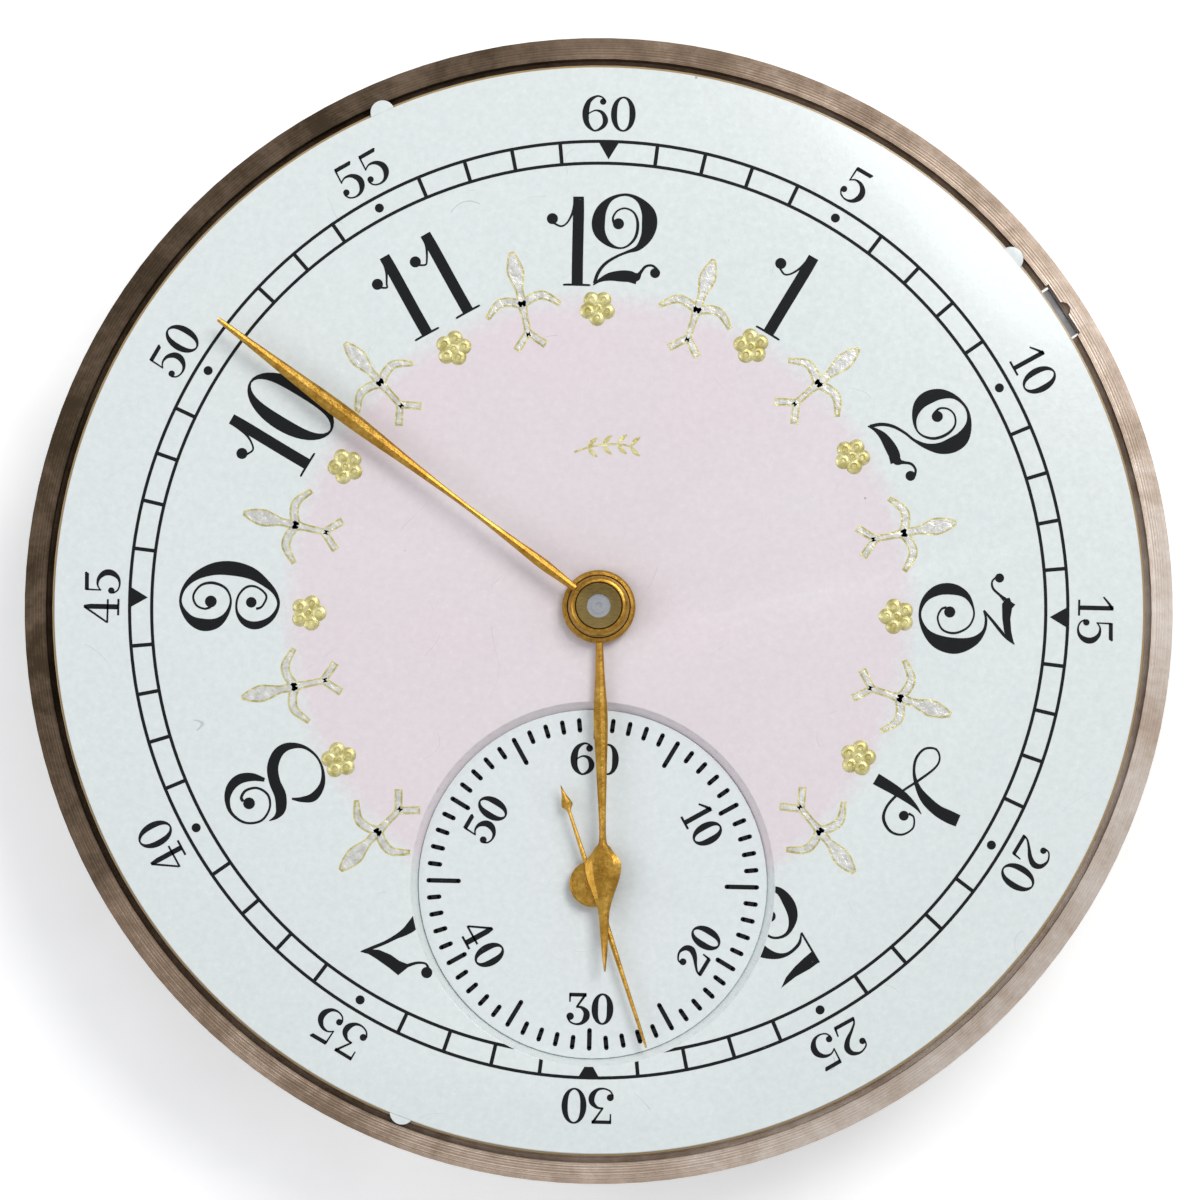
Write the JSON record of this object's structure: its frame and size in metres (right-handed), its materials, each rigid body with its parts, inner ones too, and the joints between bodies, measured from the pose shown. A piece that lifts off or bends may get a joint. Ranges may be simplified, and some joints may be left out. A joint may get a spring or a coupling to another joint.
{
  "type": "open face pocket watch movement",
  "caption": "Open face pocket watch movement with enamel dial, hands, sunk seconds dial, geared train, lever escapement and keyless winding work.",
  "frame": {"origin": "centre of the movement in the plane of the backs of the bridges, on which it rests dial up", "axes": "+Z out of the dial, +Y towards 12 o'clock, +X towards 3 o'clock"},
  "size_m": [0.0432, 0.0432, 0.008],
  "materials": {
    "plate_metal": "tarnished nickel on brass, turned edge",
    "bridge_nickel": "damaskeened nickel",
    "enamel": "fired white enamel on copper",
    "gilt_hand": "polished gilt",
    "wheel_brass": "gilt brass",
    "polished_steel": "polished steel",
    "blued_steel": "heat blued",
    "ruby": "polished ruby",
    "screw_gold": "gold",
    "balance_metal": "cut bimetal, polished",
    "copper": "copper"
  },
  "bodies": {
    "plate": {"pillar_plate": "plate_metal", "dial_plate": "enamel", "seconds_dial": "enamel", "dial_feet": "copper", "dial_foot_screws": "blued_steel", "barrel_bridge": "bridge_nickel", "train_bridge": "bridge_nickel", "pallet_cock": "bridge_nickel", "balance_cock": "bridge_nickel", "bridge_screws": "blued_steel", "cock_screws": "blued_steel", "plate_jewels": "ruby", "bridge_jewels": "ruby", "cap_jewels": "ruby", "hairspring_stud": "polished_steel", "banking_pins": "polished_steel", "crown_wheel_core": "bridge_nickel", "click_screw": "blued_steel", "click_spring": "polished_steel", "minute_wheel_stud": "polished_steel", "setting_cap": "polished_steel"},
    "hour": {"hour_hand": "gilt_hand", "hour_wheel": "wheel_brass"},
    "center": {"minute_hand": "gilt_hand", "cannon_pinion": "wheel_brass", "center_pinion": "polished_steel", "center_wheel": "wheel_brass"},
    "minute": {"minute_wheel": "wheel_brass"},
    "setting": {"setting_wheel": "polished_steel"},
    "setting_driver": {"clutch_wheel": "polished_steel"},
    "lever": {"setting_lever": "polished_steel"},
    "yoke": {"clutch_lever": "polished_steel"},
    "fourth": {"seconds_hand": "gilt_hand", "fourth_pinion": "polished_steel", "fourth_wheel": "wheel_brass"},
    "third": {"third_pinion": "polished_steel", "third_wheel": "wheel_brass"},
    "barrel": {"barrel_drum": "wheel_brass", "barrel_cover": "wheel_brass", "mainspring": "polished_steel"},
    "winding": {"barrel_arbor": "polished_steel", "ratchet_wheel": "polished_steel", "ratchet_screw": "blued_steel"},
    "crown": {"crown_wheel": "polished_steel"},
    "stem": {"winding_arbor": "polished_steel", "winding_pinion": "polished_steel"},
    "clutch": {"winding_clutch": "polished_steel"},
    "click": {"click": "polished_steel"},
    "escape": {"escape_pinion": "polished_steel", "escape_wheel": "wheel_brass"},
    "fork": {"pallet_arbor": "polished_steel", "pallet_fork": "polished_steel", "pallet_stones": "ruby"},
    "balance": {"balance_staff": "polished_steel", "balance_wheel": "balance_metal", "balance_screws": "screw_gold", "roller_table": "polished_steel", "impulse_jewel": "ruby", "hairspring": "blued_steel"},
    "regulator": {"regulator": "polished_steel"}
  },
  "joints": [
    {"name": "minute_hand_turn", "type": "hinge", "parent": "plate", "child": "center", "pos_m": [0, 0, 0.006], "axis": [0, 0, 1], "continuous": true},
    {"name": "hour_hand_turn", "type": "hinge", "parent": "plate", "child": "hour", "pos_m": [0, 0, 0.006], "axis": [0, 0, 1], "continuous": true},
    {"name": "minute_wheel_turn", "type": "hinge", "parent": "plate", "child": "minute", "pos_m": [0, 0.0042, 0.0055], "axis": [0, 0, 1], "continuous": true},
    {"name": "setting_wheel_turn", "type": "hinge", "parent": "plate", "child": "setting", "pos_m": [0, 0.00945, 0.0055], "axis": [0, 0, 1], "continuous": true},
    {"name": "clutch_wheel_turn", "type": "hinge", "parent": "plate", "child": "setting_driver", "pos_m": [0, 0.01348, 0.0052], "axis": [0, 0, 1], "continuous": true},
    {"name": "third_wheel_turn", "type": "hinge", "parent": "plate", "child": "third", "pos_m": [0.00383, -0.00583, 0.0025], "axis": [0, 0, 1], "continuous": true},
    {"name": "seconds_hand_turn", "type": "hinge", "parent": "plate", "child": "fourth", "pos_m": [0, -0.01038, 0.0033], "axis": [0, 0, 1], "continuous": true},
    {"name": "escape_wheel_turn", "type": "hinge", "parent": "plate", "child": "escape", "pos_m": [-0.00524, -0.01102, 0.0027], "axis": [0, 0, 1], "continuous": true},
    {"name": "barrel_turn", "type": "hinge", "parent": "plate", "child": "barrel", "pos_m": [0.00628, 0.00645, 0.0026], "axis": [0, 0, 1], "continuous": true},
    {"name": "ratchet_turn", "type": "hinge", "parent": "plate", "child": "winding", "pos_m": [0.00628, 0.00645, 0.0005], "axis": [0, 0, 1], "continuous": true},
    {"name": "crown_wheel_turn", "type": "hinge", "parent": "plate", "child": "crown", "pos_m": [0, 0.0146, 0.0005], "axis": [0, 0, 1], "continuous": true},
    {"name": "stem_turn", "type": "hinge", "parent": "plate", "child": "stem", "pos_m": [0, 0.0182, 0.003], "axis": [0, 1, 0], "continuous": true},
    {"name": "clutch_slide", "type": "slide", "parent": "stem", "child": "clutch", "axis": [0, 1, 0], "range_m": [-0.001, 0]},
    {"name": "setting_lever_slide", "type": "slide", "parent": "plate", "child": "lever", "axis": [0.829, 0.5592, 0], "range_m": [0, 0.0025]},
    {"name": "clutch_lever_swing", "type": "hinge", "parent": "plate", "child": "yoke", "pos_m": [0.00535, 0.01084, 0.0054], "axis": [0, 0, 1], "range_deg": [0, 11.8]},
    {"name": "click_swing", "type": "hinge", "parent": "plate", "child": "click", "pos_m": [0.01312, 0.0025, 0.0005], "axis": [0, 0, 1], "range_deg": [0, 7]},
    {"name": "pallet_fork_swing", "type": "hinge", "parent": "plate", "child": "fork", "pos_m": [-0.00789, -0.00782, 0.0027], "axis": [0, 0, 1], "range_deg": [-5, 5]},
    {"name": "balance_swing", "type": "hinge", "parent": "plate", "child": "balance", "pos_m": [-0.01127, -0.00374, 0.002], "axis": [0, 0, 1], "range_deg": [-360, 180], "deforming": ["hairspring"]},
    {"name": "regulator_swing", "type": "hinge", "parent": "plate", "child": "regulator", "pos_m": [-0.01127, -0.00374, 0.0002], "axis": [0, 0, 1], "range_deg": [-6, 6]}
  ],
  "couplings": [
    {"joint": "hour_hand_turn", "follows": "minute_hand_turn", "ratio": 0.083333},
    {"joint": "minute_wheel_turn", "follows": "minute_hand_turn", "ratio": -0.33333},
    {"joint": "setting_wheel_turn", "follows": "minute_hand_turn", "ratio": 0.5},
    {"joint": "clutch_wheel_turn", "follows": "minute_hand_turn", "ratio": -0.54545},
    {"joint": "third_wheel_turn", "follows": "minute_hand_turn", "ratio": -8},
    {"joint": "seconds_hand_turn", "follows": "minute_hand_turn", "ratio": 60},
    {"joint": "escape_wheel_turn", "follows": "minute_hand_turn", "ratio": -600},
    {"joint": "barrel_turn", "follows": "minute_hand_turn", "ratio": -0.15385},
    {"joint": "crown_wheel_turn", "follows": "ratchet_turn", "ratio": -1.5789},
    {"joint": "stem_turn", "follows": "ratchet_turn", "ratio": -3},
    {"joint": "clutch_lever_swing", "follows": "setting_lever_slide", "rad_per_m": 82.38},
    {"joint": "clutch_slide", "follows": "setting_lever_slide", "ratio": -0.4}
  ]
}
